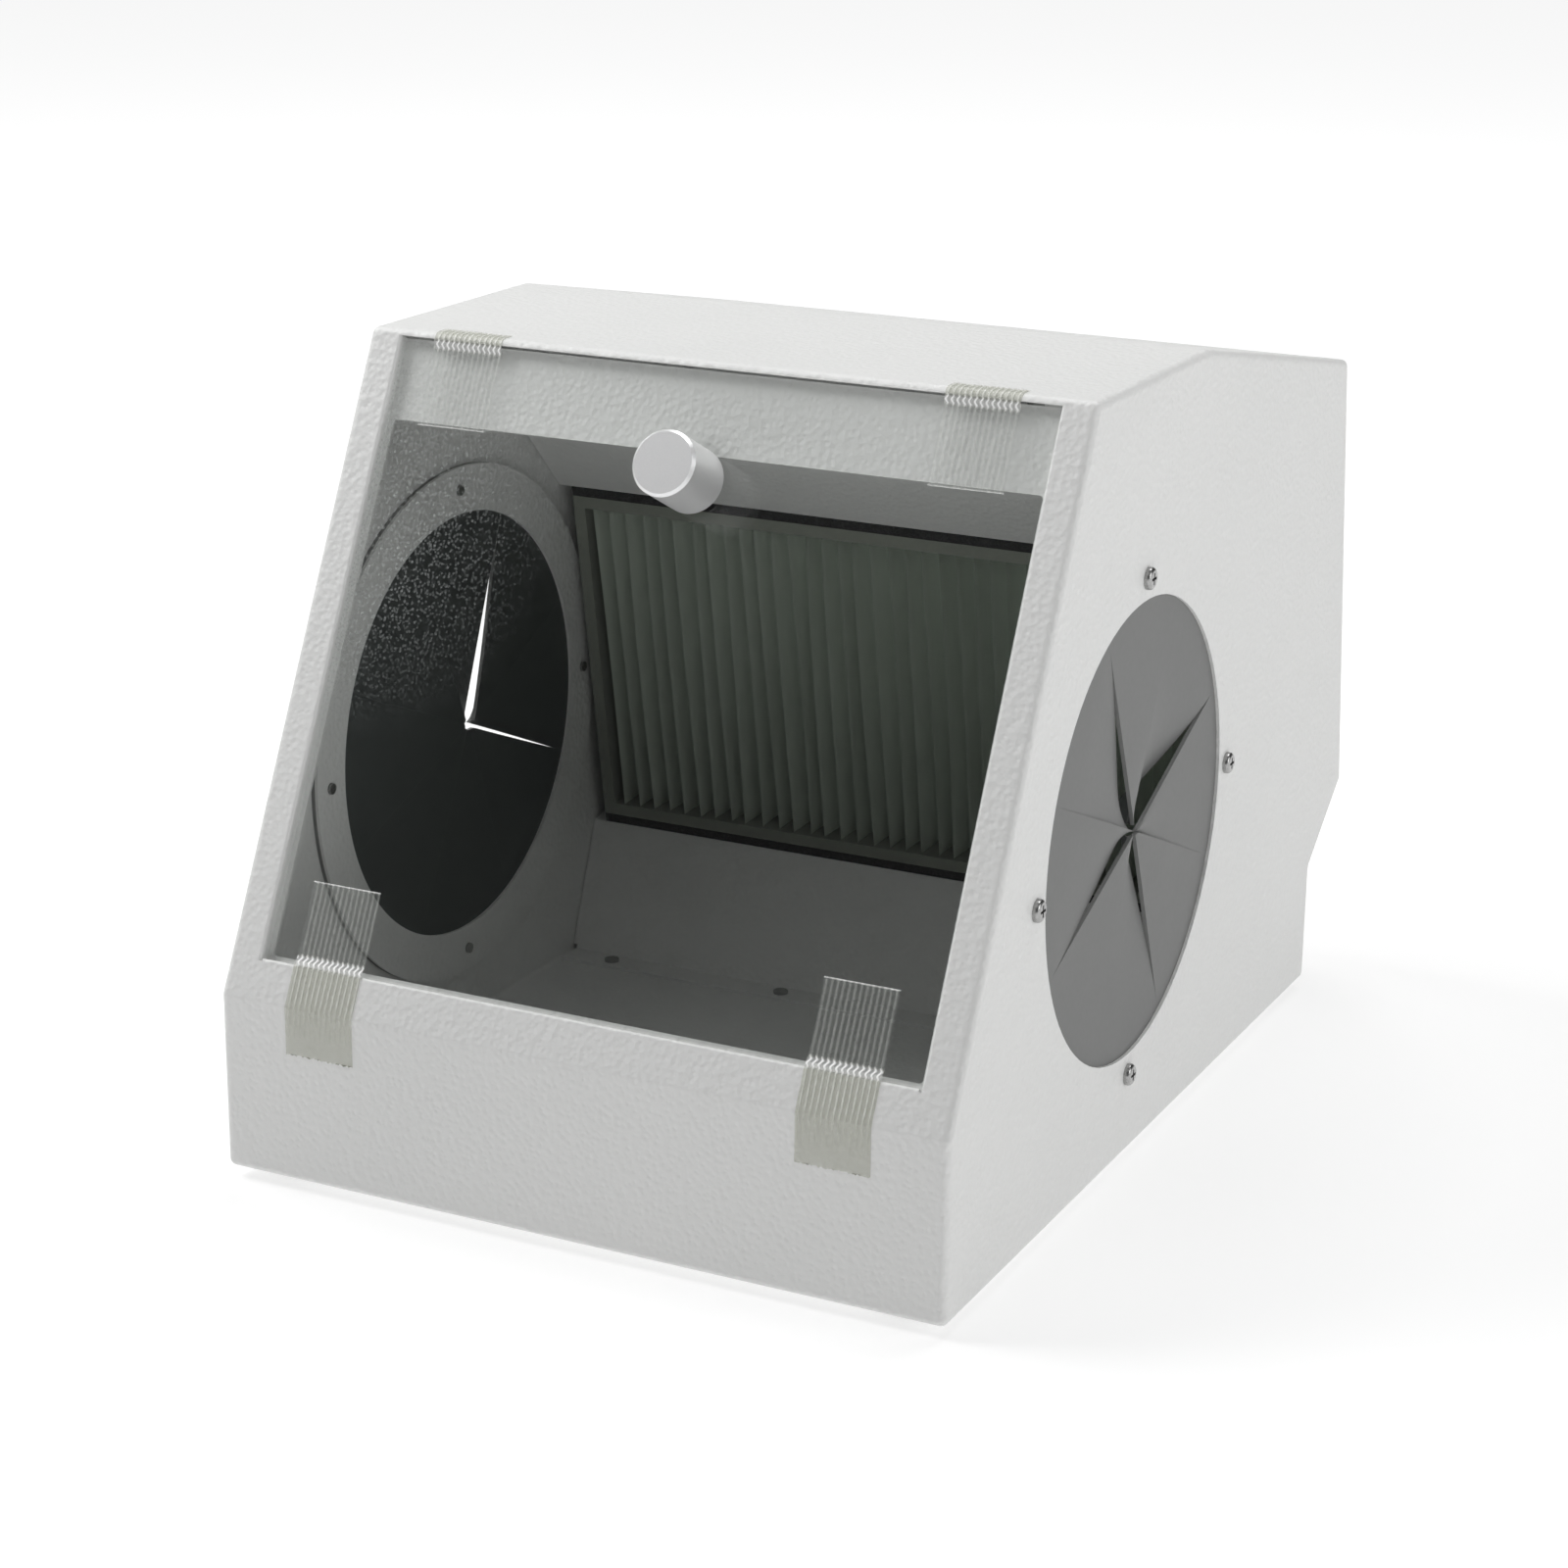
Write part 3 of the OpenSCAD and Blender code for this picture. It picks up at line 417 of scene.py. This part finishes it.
PAINT = powder_coat()
GLASS = glass()
KNOB = satin_aluminium()
ZINC = plated_steel("zinc_plate", 0.42, 0.22)
NICKEL = plated_steel("nickel_plate", 0.70, 0.16)
SHEET_RUBBER = sheet_rubber()
WASHER = soft_rubber("washer_rubber", 0.02)
FOOT = soft_rubber("foot_rubber", 0.016)
LOW_TAPE = strand_tape(
    "low_tape", glass_end=TAPE_LOW_END, bridge_low=SILL_U, bridge_high=GLASS_LOW_U + TAPE_LANDING,
    strands_from=LOW_CORNER.dot(SLANT_UP) + 4 * MM, glass_above=True)
HIGH_TAPE = strand_tape(
    "high_tape", glass_end=TAPE_HIGH_END, bridge_low=GLASS_HIGH_U - 2 * MM,
    bridge_high=GLASS_HIGH_U + 1 * MM, strands_from=TAPE_HIGH_END, glass_above=False)
PAPER = filter_paper()
CARD = card()
FOAM = foam()
FAN = moulded_plastic("fan_plastic", 0.018, 0.42)
SWITCH = moulded_plastic("switch_plastic", 0.014, 0.22)
LIGHT_COVER = frosted_cover()

SLOT_COATS = {
    "cabinet_paint": PAINT,
    "glass": GLASS,
    "knob_metal": KNOB,
    "screw_steel": ZINC,
    "port_rubber": SHEET_RUBBER,
    "washer_rubber": WASHER,
    "tape": LOW_TAPE,
    "filter_card": CARD,
    "filter_paper": PAPER,
    "foam": FOAM,
    "fan_plastic": FAN,
    "guard_wire": NICKEL,
    "light_metal": KNOB,
    "light_cover": LIGHT_COVER,
    "switch_plastic": SWITCH,
    "foot_rubber": FOOT,
}

for part in frame["record"]["subparts"]:
    mesh = frame["nodes"][part["node"]].data
    mesh.materials.clear()
    mesh.materials.append(SLOT_COATS[part["material_slot"]])


# ---- Mesh helper ----


def make_piece(name, points, faces, coat):
    """A smooth mesh piece with its material."""
    mesh = bpy.data.meshes.new(name)
    mesh.from_pydata([tuple(p) for p in points], [], faces)
    mesh.validate()
    mesh.materials.append(coat)
    piece = bpy.data.objects.new(name, mesh)
    bpy.context.scene.collection.objects.link(piece)
    mesh.shade_smooth()
    return piece


def crisp_edges(piece, angle):
    split = piece.modifiers.new("crisp_edges", "EDGE_SPLIT")
    split.split_angle = angle


def slab(outer, inner):
    """Closed faces over two grids of points, outer[i][j] and inner[i][j], of the same size."""
    rows, columns = len(outer), len(outer[0])
    points = [p for grid in (outer, inner) for row in grid for p in row]

    def at(side, i, j):
        return side * rows * columns + i * columns + j

    faces = []
    for i in range(rows - 1):
        for j in range(columns - 1):
            faces.append((at(0, i, j), at(0, i, j + 1), at(0, i + 1, j + 1), at(0, i + 1, j)))
            faces.append((at(1, i, j), at(1, i + 1, j), at(1, i + 1, j + 1), at(1, i, j + 1)))
    for i in range(rows - 1):
        for j, turn in ((0, 0), (columns - 1, 1)):
            loop = (at(0, i, j), at(0, i + 1, j), at(1, i + 1, j), at(1, i, j))
            faces.append(loop[::-1] if turn else loop)
    for j in range(columns - 1):
        for i, turn in ((0, 1), (rows - 1, 0)):
            loop = (at(0, i, j), at(0, i, j + 1), at(1, i, j + 1), at(1, i, j))
            faces.append(loop[::-1] if turn else loop)
    return points, faces


# ---- Slit rubber of the arm ports ----

SLIT_END = 80 * MM
CHORD = SLIT_END * math.cos(PETAL_STEP / 2)
TIP = 2.2 * MM
# The angle between faces beyond which a petal's edges are split, so that they shade crisp.
CRISP_EDGE = math.radians(50)

# How far each petal's slit edges and middle sag inwards, in mm: (left edge, middle, right edge).
SAG = {
    "right": [(0.0, 0.4, 1.4), (1.8, 6.5, 12.0), (-0.4, -0.5, 0.9), (-1.0, -0.2, -0.2),
              (4.2, 2.0, 0.8), (0.2, -0.2, -0.3), (4.0, 1.8, -0.9), (1.4, 2.4, 5.2)],
    "left": [(2.6, 1.6, 1.2), (5.0, 4.0, 3.0), (3.0, 2.2, 1.6), (5.6, 4.6, 3.4),
             (3.4, 3.2, 3.0), (3.0, 3.2, 3.0), (3.0, 3.0, 2.8), (2.8, 2.8, 2.6)],
}
# How steeply each port's petals leave the rim.
BEND = {"right": 1.7, "left": 1.2}
# Half the width of each slit at the centre, in mm, and the radius where it closes. Slit k lies
# after petal k, counted from the top towards the rear.
SLITS = {
    "right": [(0.03, 20), (0.9, 78), (0.03, 70), (0.35, 76),
              (0.03, 20), (0.25, 76), (0.03, 70), (0.8, 64)],
    "left": [(1.2, 62), (0.0, 60), (0.9, 72)] + [(0.0, 60)] * 5,
}
CLOSED_HALF_GAP = 0.02


def half_gap(slit, radius):
    """Half the width of a slit at that distance from the centre."""
    half, end = slit
    return (CLOSED_HALF_GAP + half * max(0.0, 1 - (radius / (end * MM)) ** 1.6)) * MM


def petal_piece(side, number):
    """One petal as a curved sheet, from its tip at the centre to the chord where it joins the rim."""
    sign = SIDES[side]
    rows, columns = 22, 13
    heading = (number - 1) * PETAL_STEP
    along = Vector((0, math.sin(heading), math.cos(heading)))
    across = Vector((0, math.cos(heading), -math.sin(heading)))
    low, middle, high = SAG[side][number - 1]
    before = SLITS[side][(number - 2) % PETALS]
    after = SLITS[side][number - 1]
    outer, inner = [], []
    for i in range(rows):
        share = i / (rows - 1)
        radius = TIP + (CHORD - TIP) * share
        free = 1 - share
        sag_share = free ** BEND[side] * (1.55 - 0.55 * free)
        out_row, in_row = [], []
        for j in range(columns):
            v = 2 * j / (columns - 1) - 1
            edge = radius * math.tan(PETAL_STEP / 2)
            lean = -(edge - half_gap(before, radius)) if v < 0 else edge - half_gap(after, radius)
            if share == 1:
                lean = math.copysign(edge, v) if v else 0.0
            sideways = abs(v) * lean
            sag = low * v * (v - 1) / 2 + middle * (1 - v * v) + high * v * (v + 1) / 2
            depth = sag * sag_share * MM
            flat = Vector((0, PORT_Y, PORT_Z)) + along * radius + across * sideways
            out_row.append(flat + Vector((sign * (RUBBER_OUT - depth), 0, 0)))
            in_row.append(flat + Vector((sign * (RUBBER_IN - depth), 0, 0)))
        outer.append(out_row)
        inner.append(in_row)
    points, faces = slab(outer, inner)
    if sign < 0:
        faces = [face[::-1] for face in faces]
    name = f"{side}_petal_{number}"
    piece = make_piece(name, points, faces, SHEET_RUBBER)
    crisp_edges(piece, CRISP_EDGE)
    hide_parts(f"{side}_flap_{number}")
    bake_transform(piece)


for side in SIDES:
    for number in range(1, PETALS + 1):
        petal_piece(side, number)


# ---- Pleated filter paper ----

PLEATS = 36
PAPER_T = 0.7 * MM
PAPER_BACK = 1.0 * MM
PAPER_CLEAR = 2.2 * MM
FOLD_ROUNDING = 0.985
FOLD_EDGE = math.radians(60)
# How far folds stray, at most: from end to end, in the middle of their height, and in depth.
LEAN = 1.5 * MM
BOW = 0.7 * MM
SET_BACK = 1.1 * MM


def between(values, place):
    """The list's value at a place between two of its entries."""
    k = min(int(place), len(values) - 2)
    return values[k] + (values[k + 1] - values[k]) * (place - k)


def pleated_paper():
    """Paper folded to and fro with rounded, slightly uneven folds."""
    chance = random.Random(7)
    folds, steps, rows = 2 * PLEATS, 12, 15
    low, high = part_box("filter_media")
    width = high.x - low.x
    bottom = -reach("filter_media", -FILTER_UP)
    top = reach("filter_media", FILTER_UP)
    front = FILTER_FACE - PAPER_BACK
    depth = FILTER_DEPTH - PAPER_CLEAR
    lean = [chance.uniform(-1, 1) for fold in range(folds + 1)]
    bow = [chance.uniform(-1, 1) for fold in range(folds + 1)]
    set_back = [chance.uniform(0, 1) for fold in range(folds + 1)]
    near, far = [], []
    for row in range(rows):
        v = row / (rows - 1)
        near_row, far_row = [], []
        for column in range(folds * steps + 1):
            place = column / steps
            end = min(1.0, place, folds - place)
            leaning = between(lean, place) * (v - 0.5) * LEAN
            bowing = between(bow, place) * math.sin(math.pi * v) * BOW
            wave = math.asin(FOLD_ROUNDING * -math.cos(math.pi * place)) / math.asin(FOLD_ROUNDING)
            share = (1 - wave) / 2
            back = depth * share + (1 - share) * between(set_back, place) * SET_BACK
            x = low.x + width * place / folds + (leaning + bowing) * end
            spot = Vector((x, 0, 0)) + FILTER_UP * (bottom + (top - bottom) * v) + FILTER_OUT * (front - back)
            near_row.append(spot)
            far_row.append(spot - FILTER_OUT * PAPER_T)
        near.append(near_row)
        far.append(far_row)
    points, faces = slab(near, far)
    piece = make_piece("pleated_paper", points, [face[::-1] for face in faces], PAPER)
    crisp_edges(piece, FOLD_EDGE)
    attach(piece, CABINET)
    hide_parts("filter_media")


pleated_paper()


# ---- Holding tape ----

TAPE_W = 27.4 * MM
FILM = 0.12 * MM
TAPE_LIFT = 0.16 * MM
ROW_STEP = 1.6 * MM
RIB_H = 0.07 * MM
SWELL_H = 0.10 * MM
CURL_H = 0.22 * MM
TEAR = 0.9 * MM


def arc(inner, first, second, radius, count=7):
    """Stations round a fold between two faces whose corner is given, as (point, outward) pairs."""
    half = math.acos(first.dot(second)) / 2
    centre = inner - (first + second).normalized() * radius / math.cos(half)
    stations = []
    for k in range(count):
        out = first.slerp(second, k / (count - 1))
        stations.append((centre + out * radius, out))
    return stations


def on_slant(along, face):
    return SLANT_UP * along + SLANT_OUT * face


def filled(stations, step):
    """The same run with stations at most one step apart."""
    run = []
    for (start, out), (end, next_out) in zip(stations, stations[1:]):
        count = max(1, math.ceil((end - start).length / step))
        for k in range(count):
            share = k / count
            run.append((start.lerp(end, share), out.lerp(next_out, share).normalized()))
    return run + [stations[-1]]


def tape_strip(name, centre_x, stations, coat, ragged_first, seed):
    """A strip of tape over the stations, ribbed by its strands, torn at one end and not quite flat."""
    chance = random.Random(seed)
    columns = 53
    run = filled(stations, ROW_STEP)
    swell = [chance.uniform(0, 1) for k in range(7)]
    tear = [chance.uniform(0, 1) for k in range(columns)]
    last = len(run) - 1
    torn_row = 0 if ragged_first else last
    outer, inner = [], []
    for i, (point, out) in enumerate(run):
        ahead = (run[min(i + 1, last)][0] - run[max(i - 1, 0)][0]).normalized()
        rows_to_cut = last - i if ragged_first else i
        outer_row, inner_row = [], []
        for j in range(columns):
            share = j / (columns - 1)
            x = centre_x + (share - 0.5) * TAPE_W
            rib = 0.5 + 0.5 * math.sin(2 * math.pi * x / STRAND_PITCH)
            swing = math.sin(3.1 * share + i * 0.21 + 6 * swell[0]) * math.sin(i * 0.35 + 5 * swell[1])
            lift = RIB_H * rib + SWELL_H * max(0.0, swing)
            if rows_to_cut < 2:
                curl = 0.5 + 0.5 * math.sin(7 * share + 4 * swell[2])
                lift += CURL_H * curl * (2 - rows_to_cut) / 2
            torn = 0.0
            if i == torn_row:
                torn = TEAR * tear[j] * (-1 if i == 0 else 1)
            spot = point + Vector((x, 0, 0)) - ahead * torn
            outer_row.append(spot + out * (lift + FILM))
            inner_row.append(spot + out * lift)
        outer.append(outer_row)
        inner.append(inner_row)
    points, faces = slab(outer, inner)
    piece = make_piece(name, points, faces, coat)
    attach(piece, COVER)
    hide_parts("holding_tape")


def holding_tape():
    tape_low, tape_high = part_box("holding_tape")
    side_x = tape_high.x - TAPE_W / 2
    fold_low = arc(LOW_CORNER, FRONT, SLANT_OUT, FOLD_R)
    fold_high = arc(HIGH_CORNER, SLANT_OUT, UP, FOLD_R)
    tail_low = Vector((0, fold_low[0][0].y, tape_low.z))
    tail_high = Vector((0, tape_high.y, fold_high[-1][0].z))
    low_run = [(tail_low, FRONT)] + fold_low + [
        (on_slant(SILL_U, SLANT_FACE), SLANT_OUT),
        (on_slant(GLASS_LOW_U + TAPE_LANDING, GLASS_FACE), SLANT_OUT),
        (on_slant(TAPE_LOW_END, GLASS_FACE), SLANT_OUT)]
    high_run = [
        (on_slant(TAPE_HIGH_END, GLASS_FACE), SLANT_OUT),
        (on_slant(GLASS_HIGH_U - TAPE_LANDING, GLASS_FACE), SLANT_OUT)] + fold_high + [(tail_high, UP)]
    levels = (("low", low_run, LOW_TAPE, True), ("high", high_run, HIGH_TAPE, False))
    for side, sign in SIDES.items():
        for level, run, coat, ragged_first in levels:
            lifted = [(point + out * TAPE_LIFT, out) for point, out in run]
            seed = sign * 3 + len(level)
            tape_strip(f"{side}_{level}_tape", sign * side_x, lifted, coat, ragged_first, seed)


holding_tape()


# ---- Floor, light and camera ----

FLOOR_HALF = 40.0
# The floor's glow grows between these two distances from the middle of the cabinet.
GLOW_NEAR = 0.7
GLOW_FAR = 2.3
LIGHT_TARGET = Vector((0, 0, 0.15))
# Each soft light's place, width and height in metres, and its power in watts.
SOFT_LIGHTS = {
    "rear_softbox": ((0, 0.9, 2.25), (1.6, 1.0), 27),
    "left_softbox": ((-1.5, -0.35, 1.7), (1.2, 1.2), 33),
    "right_softbox": ((1.9, -0.1, 0.9), (1.2, 1.2), 12),
    "front_softbox": ((0, -0.9, 1.7), (1.6, 0.8), 3),
}
CAMERA_PLACE = Vector((0.54695, -1.14045, 0.51926))
CAMERA_TARGET = Vector((0.02468, -0.08665, 0.14045))
CAMERA_ROLL = math.radians(0.546)
SENSOR_MM = 36
LENS_MM = 80.5


def floor_coat():
    """Pale floor that glows faintly, more so far from the cabinet, so that it runs out to white."""
    coat = Coat("studio_floor")
    x, y, _ = coat.axes()
    away = (((x * x + y * y).power(0.5) - GLOW_NEAR) / (GLOW_FAR - GLOW_NEAR)).clamp()
    broad = coat.noise(2, 2.0, 0.5)
    return coat.finish(coat.surface(
        Base_Color=coat.blend(broad, grey(0.46), grey(0.49)),
        Roughness=0.85,
        Emission_Color=coat.blend(away, grey(0.60), grey(0.88)),
        Emission_Strength=1.0))


def studio_floor():
    corners = [
        (x * FLOOR_HALF, y * FLOOR_HALF, 0) for x, y in ((-1, -1), (1, -1), (1, 1), (-1, 1))]
    mesh = bpy.data.meshes.new("studio_floor")
    mesh.from_pydata(corners, [], [(0, 1, 2, 3)])
    mesh.materials.append(floor_coat())
    plane = bpy.data.objects.new("studio_floor", mesh)
    bpy.context.scene.collection.objects.link(plane)


def soft_light(name, place, size, power):
    lamp = bpy.data.lights.new(name, "AREA")
    lamp.shape = "RECTANGLE"
    lamp.size, lamp.size_y = size
    lamp.energy = power
    holder = bpy.data.objects.new(name, lamp)
    bpy.context.scene.collection.objects.link(holder)
    holder.location = place
    holder.rotation_euler = (LIGHT_TARGET - Vector(place)).to_track_quat("-Z", "Y").to_euler()


def studio_air():
    """Faint bluish light from all round."""
    world = bpy.data.worlds.new("studio_air")
    bpy.context.scene.world = world
    world.use_nodes = True
    backdrop = world.node_tree.nodes["Background"]
    backdrop.inputs["Color"].default_value = tone(0.97, 0.985, 1.0)
    backdrop.inputs["Strength"].default_value = 0.06


def camera():
    forward = (CAMERA_TARGET - CAMERA_PLACE).normalized()
    level = forward.cross(UP).normalized()
    upright = level.cross(forward)
    right = level * math.cos(CAMERA_ROLL) + upright * math.sin(CAMERA_ROLL)
    up = upright * math.cos(CAMERA_ROLL) - level * math.sin(CAMERA_ROLL)
    lens = bpy.data.cameras.new("view_camera")
    lens.sensor_width = SENSOR_MM
    lens.lens = LENS_MM
    holder = bpy.data.objects.new("view_camera", lens)
    bpy.context.scene.collection.objects.link(holder)
    turn = Matrix((right, up, -forward)).transposed().to_4x4()
    holder.matrix_world = Matrix.Translation(CAMERA_PLACE) @ turn
    bpy.context.scene.camera = holder
    bpy.context.scene.view_settings.view_transform = "Standard"


studio_floor()
studio_air()
for name, (place, size, power) in SOFT_LIGHTS.items():
    soft_light(name, place, size, power)
camera()
